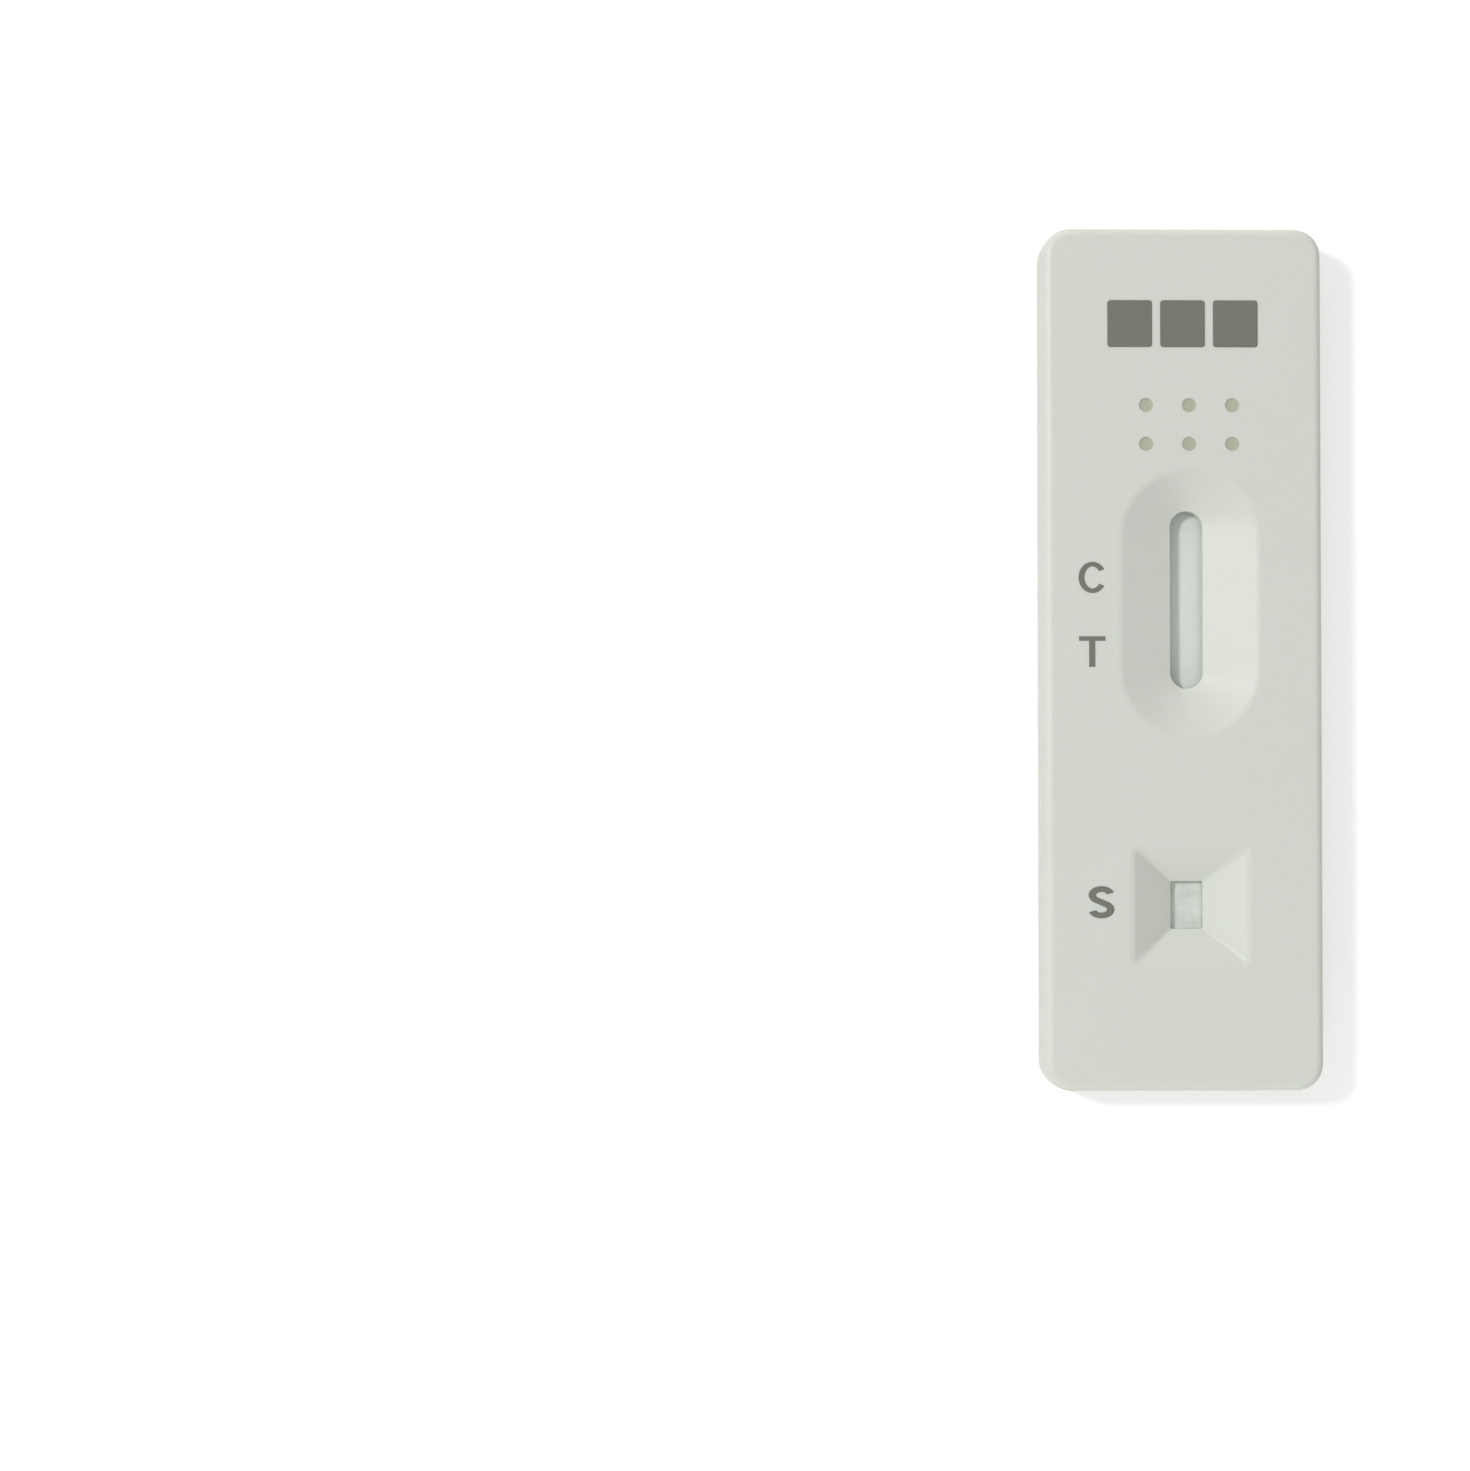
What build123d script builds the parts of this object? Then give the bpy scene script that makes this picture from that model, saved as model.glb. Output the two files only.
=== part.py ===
"""A lateral flow cassette: two snap-together shells round a paper-thin test strip.

The part lies on its underside. X runs across the case, Y along it from the sample
well towards the head end, and Z up. The origin is the middle of the underside.
Sizes are in millimetres. The case is sized from the test strip outwards.
"""

import os

from build123d import *

os.makedirs("parts", exist_ok=True)

# Test strip, listed from its foot end to its head end
strip_width = 4.0
card_thickness = 0.25
sample_pad_length = 18.0
sample_pad_thickness = 0.4
conjugate_pad_length = 8.0
conjugate_pad_thickness = 0.35
membrane_length = 25.0
membrane_thickness = 0.2
absorbent_pad_length = 14.5
absorbent_pad_thickness = 1.4

# How far each pad laps over the layer beside it, and the slope where it climbs
sample_lap = 2.0
conjugate_lap = 2.0
absorbent_lap = 1.5
pad_ramp = 0.6

# Walls and rooms of the case
lane_x = 0.5
end_room = 5.0
pin_room = 4.05
side_wall = 1.2
top_wall = 1.1
floor_thickness = 1.1
seat_rise = 0.65
head_room = 0.3
parting_height = 2.4

# Outer form of the case
corner_radius = 2.2
top_edge_radius = 0.7
bottom_edge_chamfer = 0.4
parting_chamfer = 0.12
draft_angle = 1.5
smallest_inner_radius = 0.3

# Stepped joint between the two shells
lip_height = 0.6
lip_clearance = 0.1

# Result window: a straight-sided dish that narrows to a slot over the membrane
slot_width = 2.7
window_flank_run = 4.25
window_foot_run = 4.0
window_head_run = 3.2
window_foot_lap = 0.4
window_head_gap = 0.2
window_land = 0.8
window_gap = 0.35
window_rim = 1.4
window_mouth_radius = 1.0

# Sample well: a four-sided funnel that narrows to a hole over the sample pad
well_before_lap = 6.0
well_hole_width = 2.65
well_hole_length = 3.9
well_flank_run = 3.33
well_end_run = 2.8
well_land = 0.5
well_rim = 1.2
well_hole_corner = 0.15
well_mouth_corner = 0.4
well_mouth_chamfer = 0.2

# Block of small blind dimples in the face, above the window
dimple_diameter = 1.14
dimple_floor = 0.8
dimple_columns = 3
dimple_rows = 2
dimple_pitch_x = 3.5
dimple_pitch_y = 3.15
dimple_from_window = 2.1

# Press pins of the top shell and their sockets in the bottom shell
pin_rows = 3
pin_from_end = 5.0
pin_sides = 6
pin_diameter = 1.5
pin_length = 1.8
pin_base_diameter = 2.6
pin_base_height = 0.4
pin_tip_chamfer = 0.3
socket_diameter = 3.0
socket_wall_gap = 0.4
socket_clearance = 0.05
socket_seat_gap = 0.1
socket_tip_gap = 0.3
web_thickness = 0.8

# Cradle that holds the strip in the bottom shell
strip_side_gap = 0.15
strip_end_gap = 0.25
rail_thickness = 0.8
rail_over_card = 0.25
cross_rib_count = 7
cross_rib_thickness = 1.0
cross_rib_inset = 2.0
well_block_margin = 1.0
fin_length = 3.0
fin_head_gap = 0.6
fin_lead_in = 0.35

# Bars of the top shell that press the layers of the strip together
bar_thickness = 0.8
bar_side_inset = 0.4
bar_from_head = 2.5

# Heights of the strip's layers, and of the case built round them
seat_z = floor_thickness + seat_rise
card_top_z = seat_z + card_thickness
sample_top_z = card_top_z + sample_pad_thickness
conjugate_top_z = card_top_z + conjugate_pad_thickness
sample_lap_top_z = conjugate_top_z + sample_pad_thickness
membrane_top_z = card_top_z + membrane_thickness
conjugate_lap_top_z = membrane_top_z + conjugate_pad_thickness
absorbent_top_z = card_top_z + absorbent_pad_thickness
absorbent_lap_top_z = membrane_top_z + absorbent_pad_thickness
ceiling_z = absorbent_lap_top_z + head_room
case_height = ceiling_z + top_wall

# Places of the strip's layers along the case, as low and high Y
overlap_sum = sample_lap + conjugate_lap + absorbent_lap
pad_sum = sample_pad_length + conjugate_pad_length + absorbent_pad_length
card_length = pad_sum + membrane_length - overlap_sum
case_length = card_length + 2 * end_room
foot_y = -card_length / 2
head_y = card_length / 2
sample_end_y = foot_y + sample_pad_length
conjugate_start_y = sample_end_y - sample_lap
conjugate_end_y = conjugate_start_y + conjugate_pad_length
membrane_start_y = conjugate_end_y - conjugate_lap
membrane_end_y = membrane_start_y + membrane_length
absorbent_start_y = membrane_end_y - absorbent_lap

# The window's mouth spans the free membrane, and its slot shows the middle of it
window_start_y = conjugate_end_y - window_foot_lap
window_end_y = absorbent_start_y - window_head_gap
window_y = (window_start_y + window_end_y) / 2
window_length = window_end_y - window_start_y
window_width = slot_width + 2 * window_flank_run
slot_length = window_length - window_foot_run - window_head_run
slot_y = window_start_y + window_foot_run + slot_length / 2
window_rim_z = membrane_top_z + window_gap
slot_edge_z = window_rim_z + window_land

# The well stands over the flat of the sample pad and its rim rests on the pad
well_y = conjugate_start_y - well_before_lap
well_width = well_hole_width + 2 * well_flank_run
well_length = well_hole_length + 2 * well_end_run
well_rim_z = sample_top_z
well_edge_z = well_rim_z + well_land

# Case width, from the lane and the wider of the window's sides outwards
case_width = 2 * (abs(lane_x) + window_width / 2 + pin_room + side_wall)
inner_width = case_width - 2 * side_wall
inner_length = case_length - 2 * side_wall
inner_radius = max(corner_radius - side_wall, smallest_inner_radius)

# Stepped joint: the lip is the inner half of the wall, less its clearance
lip_thickness = (side_wall - lip_clearance) / 2
step_growth = 2 * (lip_thickness + lip_clearance)

# Rows of pins and sockets
socket_top_z = ceiling_z - pin_base_height - socket_seat_gap
pin_tip_z = socket_top_z - pin_length
socket_bore = pin_diameter + 2 * socket_clearance
socket_depth = pin_length + socket_tip_gap
pin_x = inner_width / 2 - socket_wall_gap - socket_diameter / 2
pin_span_y = case_length - 2 * pin_from_end
pin_pitch_y = pin_span_y / (pin_rows - 1)

# Cradle round the strip
lane_width = strip_width + 2 * strip_side_gap
lane_length = card_length + 2 * strip_end_gap
rail_top_z = card_top_z + rail_over_card
fin_top_z = ceiling_z - fin_head_gap
rib_pitch_y = (card_length - 2 * cross_rib_inset) / (cross_rib_count - 1)

# Dimples, sunk into the top wall down to the floor that is left under them
dimple_start_y = window_end_y + dimple_from_window
dimple_span_y = dimple_pitch_y * (dimple_rows - 1)
dimple_y = dimple_start_y + dimple_span_y / 2
dimple_depth = top_wall - dimple_floor


def climbing_sheet(stations, thickness):
    """Closed outline, in (y, z), of a sheet whose underside passes the stations."""
    upper_side = [(y, z + thickness) for y, z in reversed(stations)]
    return [*stations, *upper_side]


# Backing card: the stiff plastic strip that carries all the layers
with BuildPart() as backing_card:
    with BuildSketch(Plane.XY.offset(seat_z)):
        with Locations((lane_x, 0)):
            Rectangle(strip_width, card_length)
    extrude(amount=card_thickness)
backing_card.part.label = "backing_card"
export_step(backing_card.part, "parts/backing_card.step")


# Membrane: the thin white layer under the result window
with BuildPart() as membrane:
    with BuildSketch(Plane.XY.offset(card_top_z)):
        with Locations((lane_x, (membrane_start_y + membrane_end_y) / 2)):
            Rectangle(strip_width, membrane_length)
    extrude(amount=membrane_thickness)
membrane.part.label = "nitrocellulose_membrane"
export_step(membrane.part, "parts/nitrocellulose_membrane.step")


# Conjugate pad: lies on the card and climbs on to the membrane's foot end
conjugate_underside = [
    (conjugate_start_y, card_top_z),
    (membrane_start_y - pad_ramp, card_top_z),
    (membrane_start_y, membrane_top_z),
    (conjugate_end_y, membrane_top_z),
]
with BuildPart() as conjugate_pad:
    with BuildSketch(Plane.YZ.offset(lane_x)):
        with BuildLine():
            Polyline(*climbing_sheet(conjugate_underside, conjugate_pad_thickness), close=True)
        make_face()
    extrude(amount=strip_width / 2, both=True)
conjugate_pad.part.label = "conjugate_pad"
export_step(conjugate_pad.part, "parts/conjugate_pad.step")


# Sample pad: lies on the card under the well and climbs on to the conjugate pad
sample_underside = [
    (foot_y, card_top_z),
    (conjugate_start_y - pad_ramp, card_top_z),
    (conjugate_start_y, conjugate_top_z),
    (sample_end_y, conjugate_top_z),
]
with BuildPart() as sample_pad:
    with BuildSketch(Plane.YZ.offset(lane_x)):
        with BuildLine():
            Polyline(*climbing_sheet(sample_underside, sample_pad_thickness), close=True)
        make_face()
    extrude(amount=strip_width / 2, both=True)
sample_pad.part.label = "sample_pad"
export_step(sample_pad.part, "parts/sample_pad.step")


# Absorbent pad: the thick wick, from the membrane's head end down on to the card
absorbent_underside = [
    (absorbent_start_y, membrane_top_z),
    (membrane_end_y, membrane_top_z),
    (membrane_end_y + pad_ramp, card_top_z),
    (head_y, card_top_z),
]
with BuildPart() as absorbent_pad:
    with BuildSketch(Plane.YZ.offset(lane_x)):
        with BuildLine():
            Polyline(*climbing_sheet(absorbent_underside, absorbent_pad_thickness), close=True)
        make_face()
    extrude(amount=strip_width / 2, both=True)
absorbent_pad.part.label = "absorbent_pad"
export_step(absorbent_pad.part, "parts/absorbent_pad.step")


# Bottom shell: a shallow tray with a cradle for the strip and sockets for the pins
with BuildPart() as bottom_shell:
    # Outer form, widest at the parting line
    with BuildSketch(Plane.XY.offset(parting_height)):
        RectangleRounded(case_width, case_length, corner_radius)
    extrude(amount=-parting_height, taper=draft_angle)
    rest_edges = bottom_shell.faces().sort_by(Axis.Z)[0].edges()
    rim_edges = bottom_shell.faces().sort_by(Axis.Z)[-1].edges()
    chamfer(rest_edges, bottom_edge_chamfer)
    chamfer(rim_edges, parting_chamfer)

    # Hollow of the tray
    with BuildSketch(Plane.XY.offset(floor_thickness)):
        RectangleRounded(inner_width, inner_length, inner_radius)
    extrude(amount=parting_height - floor_thickness, mode=Mode.SUBTRACT)

    # Lip that stands inside the top shell's wall
    with BuildSketch(Plane.XY.offset(parting_height)):
        lip_growth = 2 * lip_thickness
        lip_radius = inner_radius + lip_thickness
        RectangleRounded(inner_width + lip_growth, inner_length + lip_growth, lip_radius)
        RectangleRounded(inner_width, inner_length, inner_radius, mode=Mode.SUBTRACT)
    extrude(amount=lip_height)

    # Rails and end stops, one low wall right round the strip
    with BuildSketch(Plane.XY.offset(floor_thickness)):
        with Locations((lane_x, 0)):
            Rectangle(lane_width + 2 * rail_thickness, lane_length + 2 * rail_thickness)
            Rectangle(lane_width, lane_length, mode=Mode.SUBTRACT)
    extrude(amount=rail_top_z - floor_thickness)

    # Cross ribs that carry the card, and the block under the well
    with BuildSketch(Plane.XY.offset(floor_thickness)):
        with Locations((lane_x, 0)):
            with GridLocations(0, rib_pitch_y, 1, cross_rib_count):
                Rectangle(lane_width, cross_rib_thickness)
        with Locations((lane_x, well_y)):
            Rectangle(lane_width, well_hole_length + 2 * well_block_margin)
    extrude(amount=seat_rise)

    # Tall fins on the rails, one pair beside each pad, bevelled to lead the strip in
    fin_foot_y = (foot_y + well_y - well_length / 2) / 2
    fin_waist_y = (well_y + well_length / 2 + window_start_y) / 2
    fin_head_y = (window_end_y + head_y) / 2
    fin_inner_x = lane_x + lane_width / 2
    fin_outer_x = fin_inner_x + rail_thickness
    for fin_y in (fin_foot_y, fin_waist_y, fin_head_y):
        with BuildSketch(Plane.XZ.offset(-fin_y)):
            with BuildLine():
                Polyline(
                    (fin_inner_x, floor_thickness),
                    (fin_inner_x, fin_top_z - fin_lead_in),
                    (fin_inner_x + fin_lead_in, fin_top_z),
                    (fin_outer_x, fin_top_z),
                    (fin_outer_x, floor_thickness),
                    close=True,
                )
            make_face()
            mirror(about=Plane.YZ.offset(lane_x))
        extrude(amount=fin_length / 2, both=True)

    # Sockets, each tied to the side wall by a web
    with BuildSketch(Plane.XY.offset(floor_thickness)):
        with GridLocations(2 * pin_x, pin_pitch_y, 2, pin_rows):
            Circle(socket_diameter / 2)
    extrude(amount=socket_top_z - floor_thickness)
    with BuildSketch(Plane.XY.offset(floor_thickness)):
        with GridLocations(0, pin_pitch_y, 1, pin_rows):
            Rectangle(inner_width, web_thickness)
            Rectangle(2 * pin_x, web_thickness, mode=Mode.SUBTRACT)
    extrude(amount=parting_height - floor_thickness)
    with Locations((0, 0, socket_top_z)):
        with GridLocations(2 * pin_x, pin_pitch_y, 2, pin_rows):
            Hole(socket_bore / 2, depth=socket_depth)
bottom_shell.part.label = "bottom_shell"
export_step(bottom_shell.part, "parts/bottom_shell.step")


# Top shell: the face of the cassette, with the window, the well and the dimples
with BuildPart() as top_shell:
    # Outer form, widest at the parting line
    with BuildSketch(Plane.XY.offset(parting_height)):
        RectangleRounded(case_width, case_length, corner_radius)
    extrude(amount=case_height - parting_height, taper=draft_angle)
    face_edges = top_shell.faces().sort_by(Axis.Z)[-1].edges()
    rim_edges = top_shell.faces().sort_by(Axis.Z)[0].edges()
    fillet(face_edges, top_edge_radius)
    chamfer(rim_edges, parting_chamfer)

    # Hollow under the top wall, and the step in its wall that takes the lip
    with BuildSketch(Plane.XY.offset(parting_height)):
        RectangleRounded(inner_width, inner_length, inner_radius)
    extrude(amount=ceiling_z - parting_height, mode=Mode.SUBTRACT)
    with BuildSketch(Plane.XY.offset(parting_height)):
        step_radius = inner_radius + step_growth / 2
        RectangleRounded(inner_width + step_growth, inner_length + step_growth, step_radius)
    extrude(amount=lip_height + lip_clearance, mode=Mode.SUBTRACT)

    # Back of the window's dish, from the ceiling down to the flat ring over the membrane
    with BuildSketch(Plane.XY.offset(window_rim_z)):
        with Locations((lane_x, slot_y)):
            SlotOverall(slot_length + 2 * window_rim, slot_width + 2 * window_rim, rotation=90)
    with BuildSketch(Plane.XY.offset(ceiling_z)):
        with Locations((lane_x, window_y)):
            SlotOverall(window_length, window_width, rotation=90)
    loft(ruled=True)

    # Back of the sample funnel, down to the rim that rests on the sample pad
    with BuildSketch(Plane.XY.offset(well_rim_z)):
        with Locations((lane_x, well_y)):
            RectangleRounded(
                well_hole_width + 2 * well_rim,
                well_hole_length + 2 * well_rim,
                well_hole_corner,
            )
    with BuildSketch(Plane.XY.offset(ceiling_z)):
        with Locations((lane_x, well_y)):
            RectangleRounded(well_width, well_length, well_mouth_corner)
    loft(ruled=True)

    # Pressure bars over the laps of the strip and over the absorbent pad
    bar_head_y = head_y - bar_from_head
    bar_middle_y = (dimple_start_y + dimple_span_y + bar_head_y) / 2
    bar_seats = [
        ((conjugate_start_y + sample_end_y) / 2, sample_lap_top_z),
        ((membrane_start_y + conjugate_end_y) / 2, conjugate_lap_top_z),
        (bar_middle_y, absorbent_top_z),
        (bar_head_y, absorbent_top_z),
    ]
    for bar_y, bar_seat_z in bar_seats:
        with BuildSketch(Plane.XY.offset(bar_seat_z)):
            with Locations((lane_x, bar_y)):
                Rectangle(strip_width - 2 * bar_side_inset, bar_thickness)
        extrude(amount=ceiling_z - bar_seat_z)

    # Press pins on wider bases, six-sided so that only their corners grip the sockets
    with BuildSketch(Plane.XY.offset(ceiling_z)):
        with GridLocations(2 * pin_x, pin_pitch_y, 2, pin_rows):
            RegularPolygon(pin_base_diameter / 2, pin_sides)
    extrude(amount=-pin_base_height)
    with BuildSketch(Plane.XY.offset(ceiling_z)):
        with GridLocations(2 * pin_x, pin_pitch_y, 2, pin_rows):
            RegularPolygon(pin_diameter / 2, pin_sides)
    extrude(amount=pin_tip_z - ceiling_z)
    tip_edges = top_shell.faces().group_by(Axis.Z)[0].edges()
    chamfer(tip_edges, pin_tip_chamfer)

    # Dish of the window, its slot, and the soft edge of its mouth
    with BuildSketch(Plane.XY.offset(slot_edge_z)):
        with Locations((lane_x, slot_y)):
            SlotOverall(slot_length, slot_width, rotation=90)
    with BuildSketch(Plane.XY.offset(case_height)):
        with Locations((lane_x, window_y)):
            SlotOverall(window_length, window_width, rotation=90)
    loft(ruled=True, mode=Mode.SUBTRACT)
    with BuildSketch(Plane.XY.offset(window_rim_z)):
        with Locations((lane_x, slot_y)):
            SlotOverall(slot_length, slot_width, rotation=90)
    extrude(amount=window_land, mode=Mode.SUBTRACT)
    window_mouth = top_shell.faces().sort_by(Axis.Z)[-1].inner_wires()[0]
    fillet(window_mouth.edges(), window_mouth_radius)

    # Funnel of the sample well, its hole, and the edge of its mouth
    with BuildSketch(Plane.XY.offset(well_edge_z)):
        with Locations((lane_x, well_y)):
            RectangleRounded(well_hole_width, well_hole_length, well_hole_corner)
    with BuildSketch(Plane.XY.offset(case_height)):
        with Locations((lane_x, well_y)):
            RectangleRounded(well_width, well_length, well_mouth_corner)
    loft(ruled=True, mode=Mode.SUBTRACT)
    with BuildSketch(Plane.XY.offset(well_rim_z)):
        with Locations((lane_x, well_y)):
            RectangleRounded(well_hole_width, well_hole_length, well_hole_corner)
    extrude(amount=well_land, mode=Mode.SUBTRACT)
    face_holes = top_shell.faces().sort_by(Axis.Z)[-1].inner_wires()
    chamfer(face_holes.sort_by(Axis.Y)[0].edges(), well_mouth_chamfer)

    # Dimples, sunk part way into the top wall
    with Locations((lane_x, dimple_y, case_height)):
        with GridLocations(dimple_pitch_x, dimple_pitch_y, dimple_columns, dimple_rows):
            Hole(dimple_diameter / 2, depth=dimple_depth)
top_shell.part.label = "top_shell"
export_step(top_shell.part, "parts/top_shell.step")
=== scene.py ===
# %% [markdown]
# # Dressing a lateral flow cassette
#
# The object is a slim plastic case, 70 mm long, that holds a paper-thin test strip. Its two
# moulded shells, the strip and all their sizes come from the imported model, which is loaded
# here as a fixed frame. What is left for Blender is what the eye meets: satin plastic, porous
# paper, rough fibre, printed ink, and a soft light on a pale table.
#
# One Blender unit is a metre. The origin is the middle of the underside, X runs across the
# case, Y along it towards the head end, and Z up out of its face.

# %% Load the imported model
import math

import bpy
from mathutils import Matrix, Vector


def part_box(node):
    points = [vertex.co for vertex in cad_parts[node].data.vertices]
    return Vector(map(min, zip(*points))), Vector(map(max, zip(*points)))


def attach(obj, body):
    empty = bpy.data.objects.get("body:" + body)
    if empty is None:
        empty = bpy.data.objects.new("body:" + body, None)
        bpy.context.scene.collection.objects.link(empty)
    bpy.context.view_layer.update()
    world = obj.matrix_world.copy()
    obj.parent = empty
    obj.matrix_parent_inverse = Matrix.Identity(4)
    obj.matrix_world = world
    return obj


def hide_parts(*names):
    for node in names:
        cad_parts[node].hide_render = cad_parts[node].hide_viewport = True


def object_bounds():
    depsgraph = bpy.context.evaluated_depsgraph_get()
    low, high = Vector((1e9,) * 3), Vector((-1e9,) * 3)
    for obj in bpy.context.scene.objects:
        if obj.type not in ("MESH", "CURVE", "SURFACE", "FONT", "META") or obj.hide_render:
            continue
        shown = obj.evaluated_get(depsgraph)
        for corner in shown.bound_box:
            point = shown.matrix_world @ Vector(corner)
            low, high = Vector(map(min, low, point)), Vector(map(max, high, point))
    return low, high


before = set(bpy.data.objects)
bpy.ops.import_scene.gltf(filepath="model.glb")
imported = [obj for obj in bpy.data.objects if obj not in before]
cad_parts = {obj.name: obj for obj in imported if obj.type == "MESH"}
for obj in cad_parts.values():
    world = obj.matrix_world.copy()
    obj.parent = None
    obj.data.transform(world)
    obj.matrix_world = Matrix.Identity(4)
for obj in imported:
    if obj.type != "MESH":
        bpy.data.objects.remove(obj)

cad_low, cad_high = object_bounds()
cad_size = cad_high - cad_low
print("nodes:", ", ".join(sorted(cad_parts)))
print("case in mm:", [round(1000 * side, 2) for side in cad_size])

# %% [markdown]
# ## Units, colours and one helper for nodes
#
# Sizes on a small moulding are thought of in millimetres, so one factor turns them to metres.
# A colour is given as an sRGB hex value, but a shader computes with linear light, so one
# function does that change. A material is a small tree of nodes: the helper below adds one
# node, sets it up and wires it, which keeps each material as short as a recipe. A Mix node has
# several sockets named A, B and Result, so those for colours go by their numbers.

# %% Millimetres, colours and the node helper
MM = 0.001
COLOUR_A = 6
COLOUR_B = 7
MIXED_COLOUR = 2


def linear(hex_colour):
    """Turns an sRGB hex colour such as 'C8CCC4' to the linear RGBA that shaders use."""
    channels = [int(hex_colour[start:start + 2], 16) / 255 for start in (0, 2, 4)]
    toned = [c / 12.92 if c <= 0.04045 else ((c + 0.055) / 1.055) ** 2.4 for c in channels]
    return (*toned, 1.0)


def add_node(tree, kind, settings=None, inputs=None):
    """Adds a node of that kind. An input that is another node's output becomes a link."""
    node = tree.nodes.new(kind)
    for name, value in (settings or {}).items():
        setattr(node, name, value)
    for name, value in (inputs or {}).items():
        if isinstance(value, bpy.types.NodeSocket):
            tree.links.new(value, node.inputs[name])
        else:
            node.inputs[name].default_value = value
    return node


def new_material(name):
    """An empty material with its output node, and its tree to add nodes to."""
    material = bpy.data.materials.new(name)
    material.use_nodes = True
    material.node_tree.nodes.clear()
    add_node(material.node_tree, "ShaderNodeOutputMaterial")
    return material, material.node_tree


def finish_material(material, shader):
    """Wires the last shader of a material to its output."""
    tree = material.node_tree
    output = next(node for node in tree.nodes if node.type == "OUTPUT_MATERIAL")
    tree.links.new(shader, output.inputs["Surface"])
    return material


def dress(piece, material):
    """Puts a material in every slot of a piece."""
    for place in piece.material_slots:
        place.material = material
    if not piece.material_slots:
        piece.data.materials.append(material)


print("sRGB 808080 in linear light:", round(linear("808080")[0], 3))

# %% [markdown]
# ## Moulded polystyrene
#
# The shells are injection moulded in high-impact polystyrene, tinted a faint grey-green. The
# mould is spark-eroded, which prints a fine even grain on the plastic and breaks its gloss to
# a satin. As the plastic cools it shrinks a little unevenly, so a highlight wavers slightly
# over the face. Both are far lower than a triangle of the mesh, so they stay in the shader: the
# grain is a fine noise in the bump, the wavering a wide and very low one. The tint drifts by a
# hair between two close greys. A little light sinks about half a millimetre into the plastic
# and comes out again, which softens the shadows in its hollows.

# %% Satin plastic of the two shells
SHELL_TONE = "D3D6CE"
SHELL_TONE_DEEP = "D0D4CB"
EROSION_GRAIN = 0.22 * MM      # real grain is near 0.05 mm, drawn coarser so that it shows
EROSION_HEIGHT = 0.0022 * MM
SHRINK_WAVE = 9.0 * MM
SHRINK_HEIGHT = 0.006 * MM


def moulded_polystyrene():
    """Satin moulded plastic: fine erosion grain over a slow shrinkage wave."""
    material, tree = new_material("moulded_polystyrene")
    place = add_node(tree, "ShaderNodeTexCoord").outputs["Object"]
    wave = add_node(
        tree, "ShaderNodeTexNoise", {},
        {"Vector": place, "Scale": 1 / SHRINK_WAVE, "Detail": 1.0},
    )
    grain = add_node(
        tree, "ShaderNodeTexNoise", {},
        {"Vector": place, "Scale": 1 / EROSION_GRAIN, "Detail": 2.0, "Roughness": 0.6},
    )
    tint = add_node(
        tree, "ShaderNodeMix", {"data_type": "RGBA"},
        {
            "Factor": wave.outputs["Fac"],
            COLOUR_A: linear(SHELL_TONE),
            COLOUR_B: linear(SHELL_TONE_DEEP),
        },
    )
    sheen = add_node(
        tree, "ShaderNodeMapRange", {},
        {"Value": grain.outputs["Fac"], "To Min": 0.40, "To Max": 0.52},
    )
    shrinkage = add_node(
        tree, "ShaderNodeBump", {},
        {"Height": wave.outputs["Fac"], "Distance": SHRINK_HEIGHT, "Strength": 1.0},
    )
    relief = add_node(
        tree, "ShaderNodeBump", {},
        {
            "Height": grain.outputs["Fac"],
            "Distance": EROSION_HEIGHT,
            "Strength": 1.0,
            "Normal": shrinkage.outputs["Normal"],
        },
    )
    plastic = add_node(
        tree, "ShaderNodeBsdfPrincipled", {},
        {
            "Base Color": tint.outputs[MIXED_COLOUR],
            "Roughness": sheen.outputs["Result"],
            "IOR": 1.59,
            "Specular IOR Level": 0.35,
            "Subsurface Weight": 0.35,
            "Subsurface Radius": (1.0, 0.95, 0.75),
            "Subsurface Scale": 0.6 * MM,
            "Normal": relief.outputs["Normal"],
        },
    )
    return finish_material(material, plastic.outputs["BSDF"])


shell_plastic = moulded_polystyrene()
for shell in ("top_shell", "bottom_shell"):
    dress(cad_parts[shell], shell_plastic)
print("shells dressed in", shell_plastic.name)

# %% [markdown]
# ## Papers and fibres of the strip
#
# Four kinds of matt sheet lie on a glossy plastic card. The membrane is nitrocellulose, cast
# as a porous film: chalk white, smooth, with no gloss at all. Two pads are pressed cotton and
# one is glass fibre. Light sinks between their fibres, so they look soft and mottled. Each
# sheet could have a shader of its own, but they differ only in tone and in coarseness, so one
# function makes them all: a wide noise drifts the tone from lump to lump, and a finer one
# gives the fibres their height.

# %% Matt sheets
NOISE_MIDDLE = 0.5
NOISE_SPREAD = 0.25            # most of a noise lies this near its middle


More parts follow.
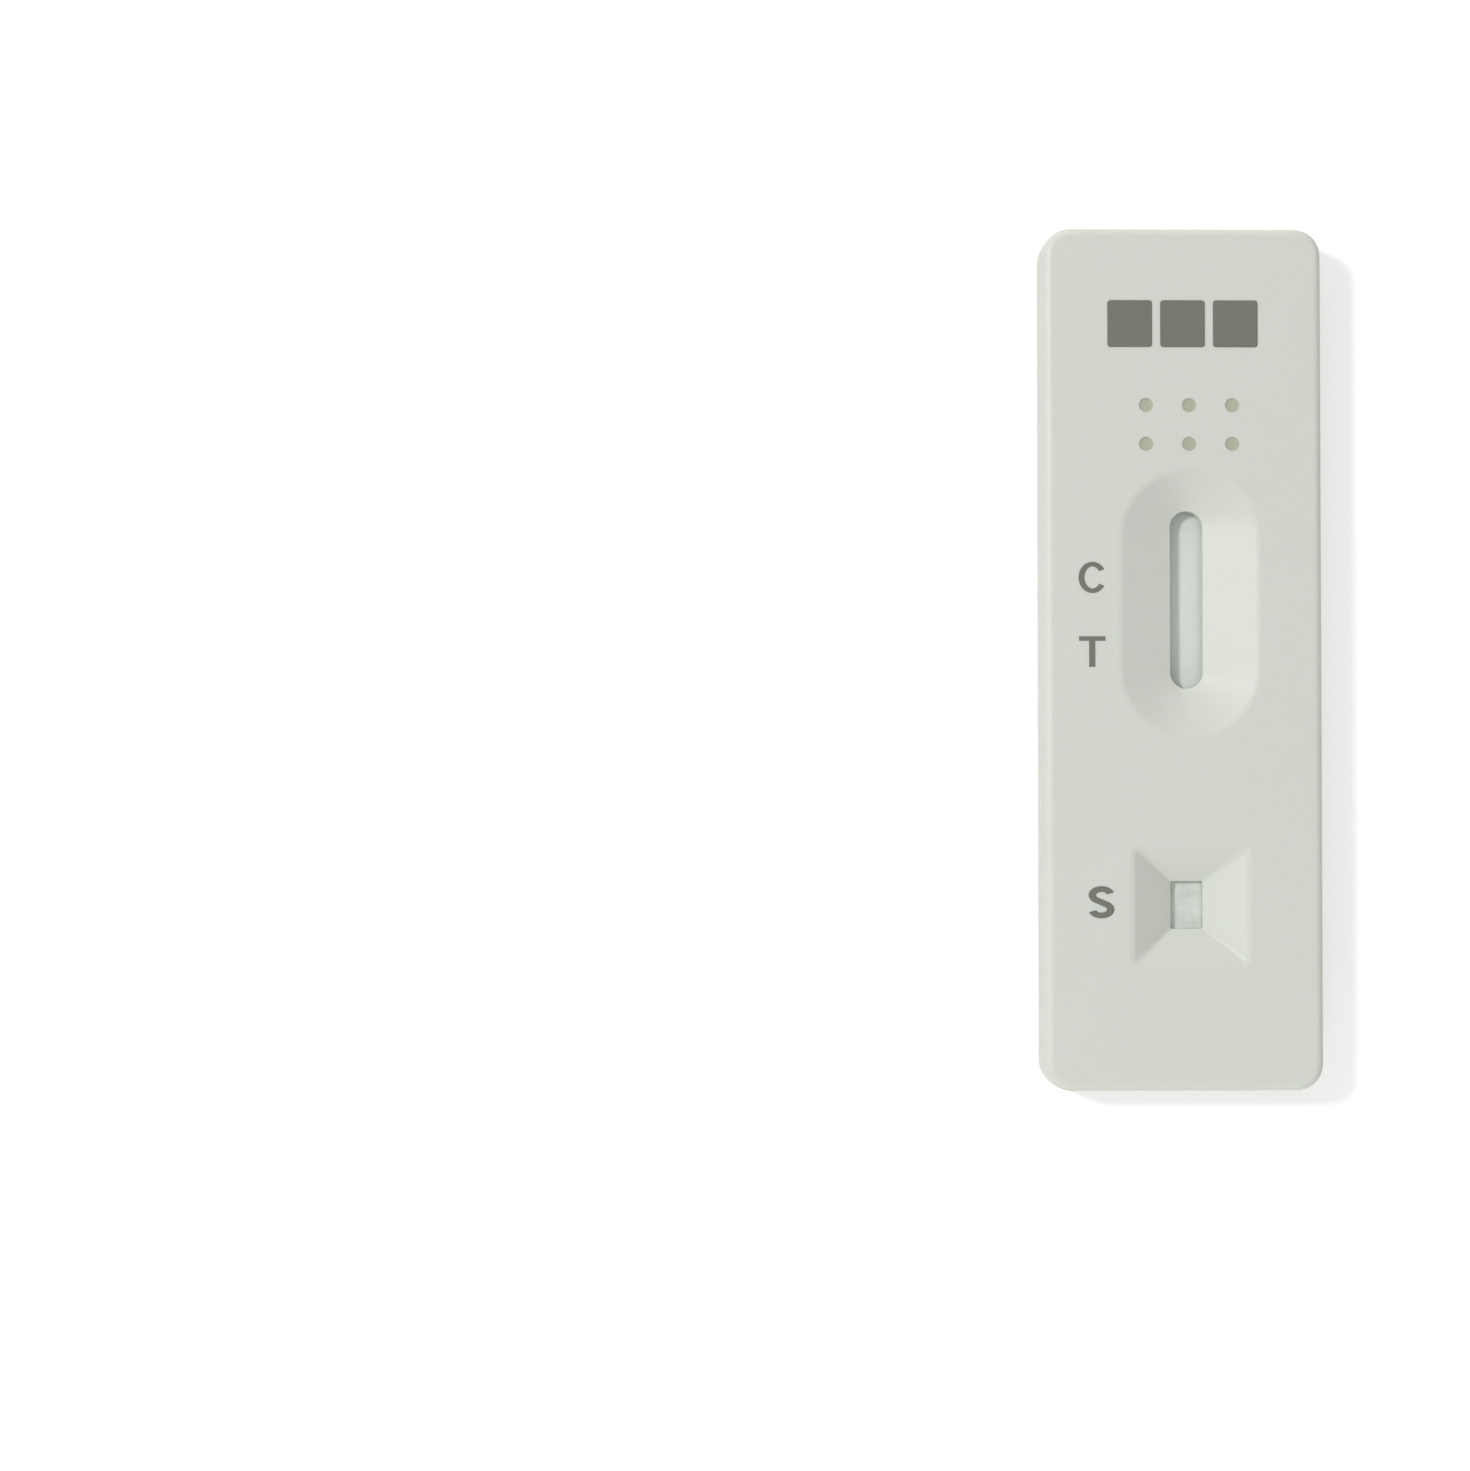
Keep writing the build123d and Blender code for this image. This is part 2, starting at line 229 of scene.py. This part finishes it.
def matt_sheet(name, pale, deep, fibre, lump, height, contrast=1.0):
    """A porous or fibrous sheet with no gloss, mottled between a pale and a deep tone."""
    material, tree = new_material(name)
    place = add_node(tree, "ShaderNodeTexCoord").outputs["Object"]
    fibres = add_node(
        tree, "ShaderNodeTexNoise", {},
        {"Vector": place, "Scale": 1 / fibre, "Detail": 4.0, "Roughness": 0.65, "Distortion": 0.6},
    )
    lumps = add_node(
        tree, "ShaderNodeTexNoise", {},
        {"Vector": place, "Scale": 1 / lump, "Detail": 2.0},
    )
    mottle = add_node(
        tree, "ShaderNodeMapRange", {},
        {
            "Value": lumps.outputs["Fac"],
            "From Min": NOISE_MIDDLE - NOISE_SPREAD / contrast,
            "From Max": NOISE_MIDDLE + NOISE_SPREAD / contrast,
        },
    )
    tone = add_node(
        tree, "ShaderNodeMix", {"data_type": "RGBA"},
        {"Factor": mottle.outputs["Result"], COLOUR_A: linear(deep), COLOUR_B: linear(pale)},
    )
    relief = add_node(
        tree, "ShaderNodeBump", {},
        {"Height": fibres.outputs["Fac"], "Distance": height, "Strength": 1.0},
    )
    sheet = add_node(
        tree, "ShaderNodeBsdfPrincipled", {},
        {
            "Base Color": tone.outputs[MIXED_COLOUR],
            "Roughness": 0.95,
            "IOR": 1.5,
            "Specular IOR Level": 0.15,
            "Subsurface Weight": 0.3,
            "Subsurface Radius": (1.0, 1.0, 1.0),
            "Subsurface Scale": 0.3 * MM,
            "Normal": relief.outputs["Normal"],
        },
    )
    return finish_material(material, sheet.outputs["BSDF"])


cast_nitrocellulose = matt_sheet(
    "cast_nitrocellulose", pale="D8DDD7", deep="D2D9D3",
    fibre=0.12 * MM, lump=1.5 * MM, height=0.003 * MM,
)
pressed_cotton = matt_sheet(
    "pressed_cotton", pale="D6DCD5", deep="C9D0C8",
    fibre=0.2 * MM, lump=0.9 * MM, height=0.008 * MM, contrast=1.5,
)
cotton_wick = matt_sheet(
    "cotton_wick", pale="D2D1BD", deep="C8C7B0",
    fibre=0.2 * MM, lump=0.8 * MM, height=0.02 * MM,
)
glass_fibre = matt_sheet(
    "glass_fibre", pale="E0D4D0", deep="D2C4C0",
    fibre=0.15 * MM, lump=0.8 * MM, height=0.02 * MM,
)
strip_dress = {
    "nitrocellulose_membrane": cast_nitrocellulose,
    "absorbent_pad": cotton_wick,
    "conjugate_pad": glass_fibre,
    "sample_pad": pressed_cotton,
}
for layer, finish in strip_dress.items():
    dress(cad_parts[layer], finish)
    print(layer, "dressed in", finish.name)

# %% [markdown]
# ## The backing card
#
# The card under the layers is a calendered vinyl sheet with glue on its upper side. Rolling
# between steel drums leaves it glossy with a faint haze. The haze could be a second, blurred
# coat over a sharp one, but a low roughness that drifts over a few millimetres shows the same.

# %% Glossy card
CARD_TONE = "E4E6E4"
HAZE_SIZE = 3.0 * MM


def calendered_vinyl():
    """Glossy white sheet with a faint haze from its rollers."""
    material, tree = new_material("calendered_vinyl")
    place = add_node(tree, "ShaderNodeTexCoord").outputs["Object"]
    haze = add_node(
        tree, "ShaderNodeTexNoise", {},
        {"Vector": place, "Scale": 1 / HAZE_SIZE, "Detail": 2.0},
    )
    gloss = add_node(
        tree, "ShaderNodeMapRange", {},
        {"Value": haze.outputs["Fac"], "To Min": 0.18, "To Max": 0.30},
    )
    vinyl = add_node(
        tree, "ShaderNodeBsdfPrincipled", {},
        {"Base Color": linear(CARD_TONE), "Roughness": gloss.outputs["Result"], "IOR": 1.53},
    )
    return finish_material(material, vinyl.outputs["BSDF"])


card_sheet = calendered_vinyl()
dress(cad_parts["backing_card"], card_sheet)
print("backing_card dressed in", card_sheet.name)

# %% [markdown]
# ## Helpers for new pieces
#
# An operator acts on all that is selected, so nothing may stay selected from the step before.
# A finished piece gets its material and is fastened to the case.

# %% Deselect, pick and fasten
def deselect():
    """Leaves nothing selected, so that an operator acts only on what is added next."""
    if bpy.context.object and bpy.context.object.mode != "OBJECT":
        bpy.ops.object.mode_set(mode="OBJECT")
    bpy.ops.object.select_all(action="DESELECT")


def pick(piece, kind, wanted):
    """Selects in edit mode the vertices, edges or faces for which wanted is true."""
    bpy.ops.object.mode_set(mode="EDIT")
    bpy.ops.mesh.select_mode(type=kind)
    bpy.ops.mesh.select_all(action="DESELECT")
    bpy.ops.object.mode_set(mode="OBJECT")
    parts = {"VERT": "vertices", "EDGE": "edges", "FACE": "polygons"}[kind]
    for part in getattr(piece.data, parts):
        part.select = wanted(part)
    bpy.ops.object.mode_set(mode="EDIT")


def ride_with_case(piece, material):
    """Dresses a finished piece and fastens it to the case."""
    dress(piece, material)
    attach(piece, "root")
    print(piece.name, "size in mm:", [round(1000 * side, 3) for side in piece.dimensions])


# %% [markdown]
# ## The sample pad
#
# The pad under the well is pressed cotton, soft and a little lumpy, so the shadow of the well
# has an uneven edge on it. A bump can't bend a shadow's edge, so the pad is modelled. A fine
# grid is laid over the whole pad, its far rows are lifted where it climbs on to the conjugate
# pad, and Solidify gives it its thickness. Two Displace modifiers then press its upper side
# down: one makes the lumps and one the fibres. They only press, so no lump rises into the rim
# of the well, which lies on the pad.

# %% Grid of the pad, lifted where it climbs
PAD_THICKNESS = 0.4 * MM
GRID_PITCH = 0.2 * MM
CLIMB_RUN = 0.6 * MM

pad_low, pad_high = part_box("sample_pad")
pad_size = pad_high - pad_low
pad_middle = (pad_low + pad_high) / 2
climb_height = pad_size.z - PAD_THICKNESS
climb_start_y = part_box("conjugate_pad")[0].y - CLIMB_RUN
deselect()
bpy.ops.mesh.primitive_grid_add(
    x_subdivisions=round(pad_size.x / GRID_PITCH),
    y_subdivisions=round(pad_size.y / GRID_PITCH),
    size=1,
    location=(pad_middle.x, pad_middle.y, pad_low.z + PAD_THICKNESS),
)
cotton_pad = bpy.context.object
cotton_pad.name = "cotton_sample_pad"
cotton_pad.scale = (pad_size.x, pad_size.y, 1)
bpy.ops.object.transform_apply()
climb_rows = round(CLIMB_RUN / GRID_PITCH)
for row in range(climb_rows):
    edge_y = climb_start_y + (row + 0.5) * GRID_PITCH
    pick(cotton_pad, "VERT", lambda vertex: vertex.co.y > edge_y)
    bpy.ops.transform.translate(value=(0, 0, climb_height / climb_rows))
bpy.ops.object.mode_set(mode="OBJECT")
print("grid of the pad:", len(cotton_pad.data.vertices), "vertices, climb from mm:",
      round(climb_start_y / MM, 2))

# %% Thickness, lumps and fibres of the pad
LUMP_SIZE = 0.9 * MM
LUMP_DEPTH = 0.09 * MM
FIBRE_SIZE = 0.28 * MM
FIBRE_DEPTH = 0.03 * MM
pad_reliefs = (("lumps", LUMP_SIZE, LUMP_DEPTH), ("fibres", FIBRE_SIZE, FIBRE_DEPTH))

thickness = cotton_pad.modifiers.new("thickness", "SOLIDIFY")
thickness.thickness = PAD_THICKNESS
thickness.offset = -1
bpy.ops.object.modifier_apply(modifier=thickness.name)
cotton_pad.vertex_groups.new(name="upper_side")
pick(cotton_pad, "FACE", lambda face: face.normal.z > 0.5)
bpy.ops.object.vertex_group_assign()
bpy.ops.object.mode_set(mode="OBJECT")
finer = cotton_pad.modifiers.new("finer", "SUBSURF")
finer.subdivision_type = "SIMPLE"
finer.levels = finer.render_levels = 1
bpy.ops.object.modifier_apply(modifier=finer.name)
for title, grain_size, depth in pad_reliefs:
    relief = bpy.data.textures.new(title, "CLOUDS")
    relief.noise_scale = grain_size
    press = cotton_pad.modifiers.new(title, "DISPLACE")
    press.texture = relief
    press.texture_coords = "LOCAL"
    press.direction = "Z"
    press.vertex_group = "upper_side"
    press.mid_level = 1.0
    press.strength = depth
    bpy.ops.object.modifier_apply(modifier=press.name)
bpy.ops.object.shade_smooth()
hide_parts("sample_pad")
ride_with_case(cotton_pad, pressed_cotton)

# %% [markdown]
# ## The six dimples
#
# Each dimple in the face holds a drop of darker olive grey almost up to its brim. Its colour
# is painted shade: it stands in for the shade that falls inside a deeper hollow. A flat disc
# would look like print, so the drop rises at the wall of its dimple and lies lower in the
# middle: a short cylinder whose upper face is inset twice and sunk each time. One drop is
# modelled and copied to the others.

# %% Painted shade in the dimples
# Painted shade: the olive grey of the drops stands in for the shade inside the dimples.
DIMPLE_SHADE_TONE = "B1B3A0"
DIMPLE_SHADE_TONE_DEEP = "ABAD98"
DIMPLE_SHADE_CLOUD = 0.9 * MM


def dimple_shade_paint():
    """Painted shade for the dimples: darker olive grey, satin and slightly uneven in tone."""
    material, tree = new_material("dimple_shade_paint")
    place = add_node(tree, "ShaderNodeTexCoord").outputs["Object"]
    cloud = add_node(
        tree, "ShaderNodeTexNoise", {},
        {"Vector": place, "Scale": 1 / DIMPLE_SHADE_CLOUD, "Detail": 2.0},
    )
    tone = add_node(
        tree, "ShaderNodeMix", {"data_type": "RGBA"},
        {
            "Factor": cloud.outputs["Fac"],
            COLOUR_A: linear(DIMPLE_SHADE_TONE),
            COLOUR_B: linear(DIMPLE_SHADE_TONE_DEEP),
        },
    )
    shade_fill = add_node(
        tree, "ShaderNodeBsdfPrincipled", {},
        {
            "Base Color": tone.outputs[MIXED_COLOUR],
            "Roughness": 0.45,
            "IOR": 1.5,
            "Specular IOR Level": 0.3,
        },
    )
    return finish_material(material, shade_fill.outputs["BSDF"])


dimple_shade_film = dimple_shade_paint()
print("made", dimple_shade_film.name)

# %% One drop and its five copies
DIMPLE_RADIUS = 0.57 * MM
DIMPLE_DEPTH = 0.3 * MM
DIMPLE_FIRST = (-3.0, 17.4)    # its middle in mm, and below it the steps to the next ones
DIMPLE_PITCH = (3.5, 3.15)
DIMPLE_COLUMNS = 3
DIMPLE_COUNT = 6
DROP_HEIGHT = 0.24 * MM
DROP_STEPS = (0.08 * MM, 0.12 * MM)
DROP_STEP_DEPTH = 0.02 * MM
DROP_SIDES = 48
SMOOTH_UP_TO = math.radians(40)

face_z = cad_high.z
dimple_floor_z = face_z - DIMPLE_DEPTH
deselect()
bpy.ops.mesh.primitive_cylinder_add(
    vertices=DROP_SIDES,
    radius=DIMPLE_RADIUS,
    depth=DROP_HEIGHT,
    location=(DIMPLE_FIRST[0] * MM, DIMPLE_FIRST[1] * MM, dimple_floor_z + DROP_HEIGHT / 2),
)
drop = bpy.context.object
drop.name = "dimple_shade_drop_1"
bpy.ops.object.transform_apply()
pick(drop, "FACE", lambda face: face.normal.z > 0.5)
for step_in in DROP_STEPS:
    bpy.ops.mesh.inset(thickness=step_in)
    bpy.ops.transform.translate(value=(0, 0, -DROP_STEP_DEPTH))
bpy.ops.object.mode_set(mode="OBJECT")
bpy.ops.object.shade_smooth_by_angle(angle=SMOOTH_UP_TO)
drops = [drop]
for number in range(1, DIMPLE_COUNT):
    row, column = divmod(number, DIMPLE_COLUMNS)
    deselect()
    drop.select_set(True)
    bpy.context.view_layer.objects.active = drop
    bpy.ops.object.duplicate()
    copy = bpy.context.object
    copy.name = f"dimple_shade_drop_{number + 1}"
    copy.location = (column * DIMPLE_PITCH[0] * MM, row * DIMPLE_PITCH[1] * MM, 0)
    bpy.ops.object.transform_apply()
    drops.append(copy)
for piece in drops:
    ride_with_case(piece, dimple_shade_film)

# %% [markdown]
# ## The printed marks
#
# The face is pad printed in one dark grey ink: a soft silicone pad lays a film about a
# hundredth of a millimetre thick. C and T stand beside the window, where the control line and
# the test line appear, and S stands beside the sample well. Near the head end lies a row of
# three plain blocks. The marks could be a mask in the plastic's material, but a letter is hard
# to draw with nodes and has no edge there, so each mark is a thin closed piece of its own.

# %% Ink
INK_THICKNESS = 0.012 * MM
INK_SINK = 0.002 * MM          # how far the film reaches into the face, so that it lies closed
INK_TONE = "6D7066"
INK_TONE_PALE = "76796F"
INK_MOTTLE = 0.3 * MM


def printing_ink():
    """Dark grey pad-printing ink, matt with a slightly uneven film."""
    material, tree = new_material("pad_printing_ink")
    place = add_node(tree, "ShaderNodeTexCoord").outputs["Object"]
    film = add_node(
        tree, "ShaderNodeTexNoise", {},
        {"Vector": place, "Scale": 1 / INK_MOTTLE, "Detail": 3.0},
    )
    tone = add_node(
        tree, "ShaderNodeMix", {"data_type": "RGBA"},
        {
            "Factor": film.outputs["Fac"],
            COLOUR_A: linear(INK_TONE),
            COLOUR_B: linear(INK_TONE_PALE),
        },
    )
    ink = add_node(
        tree, "ShaderNodeBsdfPrincipled", {},
        {
            "Base Color": tone.outputs[MIXED_COLOUR],
            "Roughness": 0.55,
            "IOR": 1.5,
            "Specular IOR Level": 0.3,
        },
    )
    return finish_material(material, ink.outputs["BSDF"])


ink_film = printing_ink()
print("made", ink_film.name, "for a film of", round(INK_THICKNESS / MM, 3), "mm")

# %% [markdown]
# ## Letters as strokes of a pen
#
# A plain letter is a line with a width. A text object would bring the shapes of one typeface,
# so the letters are drawn instead. C is most of a ring of edges. S is two rings, one over the
# other, each cut open and joined by a slanting edge. The line is raised to a low ribbon, and
# Solidify gives the ribbon its width, the same all along. C and S are drawn narrower than their
# places and stretched to fit, so that their upright strokes come out wider than the level ones,
# as in most type. T is a bar whose middle is extruded downwards.

# %% Line, ribbon and place of a letter
RING_STEPS = 120
SLACK = 0.1                    # degrees, well under the 3 degrees between two steps
RIBBON_HEIGHT = 0.1


def ring(middle_y, radius, first_degree, last_degree):
    """An open ring of edges. Degrees run from the right, up and over to the left."""
    deselect()
    bpy.ops.mesh.primitive_circle_add(vertices=RING_STEPS, radius=radius, location=(0, middle_y, 0))
    piece = bpy.context.object
    bpy.ops.object.transform_apply()

    def is_open(vertex):
        turned = math.degrees(math.atan2(vertex.co.y - middle_y, vertex.co.x))
        past_first = (turned - first_degree) % 360
        return last_degree - first_degree + SLACK < past_first < 360 - SLACK

    pick(piece, "VERT", is_open)
    bpy.ops.mesh.delete(type="VERT")
    bpy.ops.object.mode_set(mode="OBJECT")
    return piece


def widen(piece, narrowing, stroke):
    """Raises a line of edges to a ribbon as wide as a stroke, given in letter heights."""
    pick(piece, "EDGE", lambda edge: True)
    bpy.ops.transform.resize(value=(narrowing, 1, 1), center_override=(0, 0, 0))
    bpy.ops.mesh.extrude_region_move(TRANSFORM_OT_translate={"value": (0, 0, RIBBON_HEIGHT)})
    bpy.ops.mesh.select_all(action="SELECT")
    bpy.ops.mesh.normals_make_consistent(inside=False)
    bpy.ops.object.mode_set(mode="OBJECT")
    pen = piece.modifiers.new("pen", "SOLIDIFY")
    pen.thickness = stroke
    pen.offset = 0
    pen.use_even_offset = True
    bpy.ops.object.modifier_apply(modifier=pen.name)


def place_letter(piece, letter, low, high):
    """Fits a drawn letter between its low and high corners, given in mm, as a film of ink."""
    piece.name = f"printed_letter_{letter}"
    corners = [Vector(corner) for corner in piece.bound_box]
    drawn_low = Vector([min(corner[axis] for corner in corners) for axis in range(3)])
    piece.scale = (
        (high[0] - low[0]) * MM / piece.dimensions.x,
        (high[1] - low[1]) * MM / piece.dimensions.y,
        INK_THICKNESS / piece.dimensions.z,
    )
    piece.location = (
        low[0] * MM - drawn_low.x * piece.scale.x,
        low[1] * MM - drawn_low.y * piece.scale.y,
        face_z - INK_SINK - drawn_low.z * piece.scale.z,
    )
    bpy.ops.object.transform_apply()
    pick(piece, "FACE", lambda face: True)
    bpy.ops.mesh.normals_make_consistent(inside=False)
    bpy.ops.object.mode_set(mode="OBJECT")
    ride_with_case(piece, ink_film)


# %% The letter C beside the control line
C_LOW = (-8.52, 5.29)          # corners of the letter in mm, as those of S and T below
C_HIGH = (-6.43, 7.82)
C_RADIUS = 0.42                # in letter heights, as all of C and S before it is placed
C_OPENING = 33                 # degrees from level to each end of the line

letter_c = ring(0, C_RADIUS, C_OPENING, 360 - C_OPENING)
widen(letter_c, narrowing=0.64, stroke=0.145)
place_letter(letter_c, "C", C_LOW, C_HIGH)

# %% The letter S beside the well
S_LOW = (-7.78, -21.00)
S_HIGH = (-5.69, -18.40)
S_RADIUS = 0.19
S_MIDDLE = S_RADIUS * 1.192    # near 1 / sin 57 degrees, so the spine carries on both curves
S_OPENING = 15                 # degrees from level to the free end of each bowl
SPINE_DEGREE = 57              # where the spine meets the lower bowl
SAME_PLACE = 0.002

upper_bowl = ring(S_MIDDLE, S_RADIUS, S_OPENING, SPINE_DEGREE + 180)
lower_bowl = ring(-S_MIDDLE, S_RADIUS, S_OPENING - 180, SPINE_DEGREE)
upper_bowl.select_set(True)
lower_bowl.select_set(True)
bpy.context.view_layer.objects.active = lower_bowl
bpy.ops.object.join()
spine_turn = math.radians(SPINE_DEGREE)
spine_end = Vector((math.cos(spine_turn), math.sin(spine_turn), 0)) * S_RADIUS
spine_end.y -= S_MIDDLE


def ends_spine(vertex):
    """True for the two line ends that the slanting edge joins, one each side of the middle."""
    from_ends = (vertex.co - spine_end).length, (vertex.co + spine_end).length
    return min(from_ends) < SAME_PLACE


pick(lower_bowl, "VERT", ends_spine)
bpy.ops.mesh.edge_face_add()
bpy.ops.object.mode_set(mode="OBJECT")
widen(lower_bowl, narrowing=1.15, stroke=0.18)
place_letter(lower_bowl, "S", S_LOW, S_HIGH)

# %% The letter T beside the test line
T_LOW = (-8.50, -0.68)
T_HIGH = (-6.36, 1.79)
T_BAR = 0.36                   # T is drawn in mm: height of its bar
T_STEM = 0.50                  # and width of its stem

deselect()
bpy.ops.mesh.primitive_cube_add(size=1)
letter_t = bpy.context.object
letter_t.scale = (T_HIGH[0] - T_LOW[0], T_BAR, 1)
bpy.ops.object.transform_apply()
for side in (-T_STEM / 2, T_STEM / 2):
    pick(letter_t, "FACE", lambda face: True)
    bpy.ops.mesh.bisect(plane_co=(side, 0, 0), plane_no=(1, 0, 0))
    bpy.ops.object.mode_set(mode="OBJECT")
pick(letter_t, "FACE", lambda face: face.normal.y < -0.5 and abs(face.center.x) < T_STEM / 2)
stem_length = T_HIGH[1] - T_LOW[1] - T_BAR
bpy.ops.mesh.extrude_region_move(TRANSFORM_OT_translate={"value": (0, -stem_length, 0)})
bpy.ops.object.mode_set(mode="OBJECT")
place_letter(letter_t, "T", T_LOW, T_HIGH)

# %% [markdown]
# ## Plain blocks
#
# The row near the head end is three solid blocks of ink with slightly rounded corners. A filled
# curve would give the outline, but it has to be closed below. A cube as thin as the film is
# closed at once, and a bevel of its four upright edges rounds the corners.

# %% Three plain blocks at the head end
BLOCK_COUNT = 3
BLOCK_ROW_LOW = (-6.13, 25.25)     # corners of the whole row, in mm, as the sizes below
BLOCK_ROW_HIGH = (6.10, 29.07)
BLOCK_GAP = 0.65
BLOCK_CORNER = 0.25
BLOCK_CORNER_STEPS = 4


def printed_block(number):
    """One block of the printed row, counted from the left."""
    row_width = BLOCK_ROW_HIGH[0] - BLOCK_ROW_LOW[0]
    width = (row_width - (BLOCK_COUNT - 1) * BLOCK_GAP) / BLOCK_COUNT
    height = BLOCK_ROW_HIGH[1] - BLOCK_ROW_LOW[1]
    middle = (
        (BLOCK_ROW_LOW[0] + width / 2 + number * (width + BLOCK_GAP)) * MM,
        (BLOCK_ROW_LOW[1] + height / 2) * MM,
        face_z - INK_SINK + INK_THICKNESS / 2,
    )
    deselect()
    bpy.ops.mesh.primitive_cube_add(size=1, location=middle)
    piece = bpy.context.object
    piece.name = f"printed_block_{number + 1}"
    piece.scale = (width * MM, height * MM, INK_THICKNESS)
    bpy.ops.object.transform_apply()

    def is_upright(edge):
        first, second = (piece.data.vertices[index].co for index in edge.vertices)
        return abs(first.z - second.z) > INK_THICKNESS / 2

    pick(piece, "EDGE", is_upright)
    bpy.ops.mesh.bevel(offset=BLOCK_CORNER * MM, segments=BLOCK_CORNER_STEPS)
    bpy.ops.object.mode_set(mode="OBJECT")
    ride_with_case(piece, ink_film)


for number in range(BLOCK_COUNT):
    printed_block(number)

# %% [markdown]
# ## The table
#
# The cassette lies on a seamless white table. A bare white background would leave it hanging in
# the air, so the floor is a large pale sheet that keeps the soft shadow of the case. To the
# camera it adds a little light of its own, so that it reads as white, while the light it throws
# back on the case stays natural. The lamps are close to the case and leave the far floor
# darker, so that added light grows with the distance.

# %% Floor
FLOOR_SIZE = 6.0
FLOOR_TONE = "DFDFDD"
FLOOR_GLOW = 0.38
FLOOR_GLOW_FAR = 0.66
GLOW_RISE_FROM = 150 * MM
GLOW_RISE_TO = 800 * MM


def white_table():
    """Pale matt table top that reads as white to the camera and keeps the shadow."""
    material, tree = new_material("white_table")
    paths = add_node(tree, "ShaderNodeLightPath")
    seen = add_node(
        tree, "ShaderNodeMath", {"operation": "MAXIMUM"},
        {0: paths.outputs["Is Camera Ray"], 1: paths.outputs["Is Glossy Ray"]},
    )
    seen_or_through = add_node(
        tree, "ShaderNodeMath", {"operation": "MAXIMUM"},
        {0: seen.outputs["Value"], 1: paths.outputs["Is Transmission Ray"]},
    )
    place = add_node(tree, "ShaderNodeTexCoord").outputs["Object"]
    far_off = add_node(tree, "ShaderNodeVectorMath", {"operation": "LENGTH"}, {0: place})
    level = add_node(
        tree, "ShaderNodeMapRange", {},
        {
            "Value": far_off.outputs["Value"],
            "From Min": GLOW_RISE_FROM,
            "From Max": GLOW_RISE_TO,
            "To Min": FLOOR_GLOW,
            "To Max": FLOOR_GLOW_FAR,
        },
    )
    strength = add_node(
        tree, "ShaderNodeMath", {"operation": "MULTIPLY"},
        {0: seen_or_through.outputs["Value"], 1: level.outputs["Result"]},
    )
    matt = add_node(tree, "ShaderNodeBsdfDiffuse", {}, {"Color": linear(FLOOR_TONE)})
    glow = add_node(tree, "ShaderNodeEmission", {}, {"Strength": strength.outputs["Value"]})
    both = add_node(
        tree, "ShaderNodeAddShader", {},
        {0: matt.outputs["BSDF"], 1: glow.outputs["Emission"]},
    )
    return finish_material(material, both.outputs["Shader"])


deselect()
bpy.ops.mesh.primitive_plane_add(size=FLOOR_SIZE)
table_top = bpy.context.object
table_top.name = "table_top"
dress(table_top, white_table())
print("table top is", FLOOR_SIZE, "m wide")

# %% [markdown]
# ## The light
#
# The light comes from a window-like lamp on the left, half way up, which shades the left walls
# of the dish and the well and draws the narrow shadow along the slot. A wider lamp would blur
# that shadow away. Two weak fills, low at the foot end and the head end, lift the end walls of
# the hollows. They could be sheets that throw light back, but lamps are simpler to tune. The
# bright room around fills the rest.

# %% Lamps and room light
ROOM_LEVEL = 0.48


def soft_lamp(name, from_vertical, turn, distance, size, power):
    """A round area lamp aimed at the case. Turn is 0 at the left and 90 at the head end."""
    tilt, turned = math.radians(from_vertical), math.radians(turn)
    towards_lamp = Vector((
        -math.sin(tilt) * math.cos(turned),
        math.sin(tilt) * math.sin(turned),
        math.cos(tilt),
    ))
    deselect()
    bpy.ops.object.light_add(type="AREA", location=towards_lamp * distance)
    lamp = bpy.context.object
    lamp.name = name
    lamp.rotation_euler = towards_lamp.to_track_quat("Z", "Y").to_euler()
    lamp.data.shape = "DISK"
    lamp.data.size = size
    lamp.data.energy = power
    print(name, "gives", power, "W from", distance, "m")


soft_lamp("window_lamp", from_vertical=42.0, turn=22.0, distance=0.9, size=0.14, power=3.95)
soft_lamp("foot_end_fill", from_vertical=65.0, turn=-90.0, distance=0.3, size=0.25, power=0.257)
soft_lamp("head_end_fill", from_vertical=65.0, turn=90.0, distance=0.5, size=0.3, power=0.46)

room = bpy.data.worlds.new("bright_room")
bpy.context.scene.world = room
room.use_nodes = True
room.node_tree.nodes.clear()
room_paths = add_node(room.node_tree, "ShaderNodeLightPath")
room_level = add_node(
    room.node_tree, "ShaderNodeMapRange", {},
    {"Value": room_paths.outputs["Is Camera Ray"], "To Min": ROOM_LEVEL, "To Max": 1.0},
)
room_light = add_node(
    room.node_tree, "ShaderNodeBackground", {},
    {"Color": (1.0, 1.0, 1.0, 1.0), "Strength": room_level.outputs["Result"]},
)
add_node(
    room.node_tree, "ShaderNodeOutputWorld", {},
    {"Surface": room_light.outputs["Background"]},
)
print("light level of the room:", ROOM_LEVEL)

# %% [markdown]
# ## The camera
#
# The camera hangs about a quarter of a metre above the table and looks straight down. It
# stands left of the cassette, so that the left side wall just shows, and the cassette lies to
# the right of the picture. Place, turn and focal length were fitted to the outline and the
# openings of the case, in a picture of 1470 by 1471 pixels.

# %% Camera
PICTURE_LONG_SIDE = 1471
FOCAL_PIXELS = 3000.0
SENSOR_WIDTH = 36.0
CAMERA_PLACE = (-41.0474 * MM, -11.0963 * MM, 246.7857 * MM)
CAMERA_TURN = (0.0201172, -0.0195151, -0.0004297)

deselect()
bpy.ops.object.camera_add(location=CAMERA_PLACE, rotation=CAMERA_TURN)
camera = bpy.context.object
camera.data.sensor_width = SENSOR_WIDTH
camera.data.lens = FOCAL_PIXELS / PICTURE_LONG_SIDE * SENSOR_WIDTH
camera.data.clip_start = 10 * MM
camera.data.clip_end = 10.0
bpy.context.scene.camera = camera
bpy.context.scene.view_settings.view_transform = "Standard"
print("lens in mm:", round(camera.data.lens, 2))
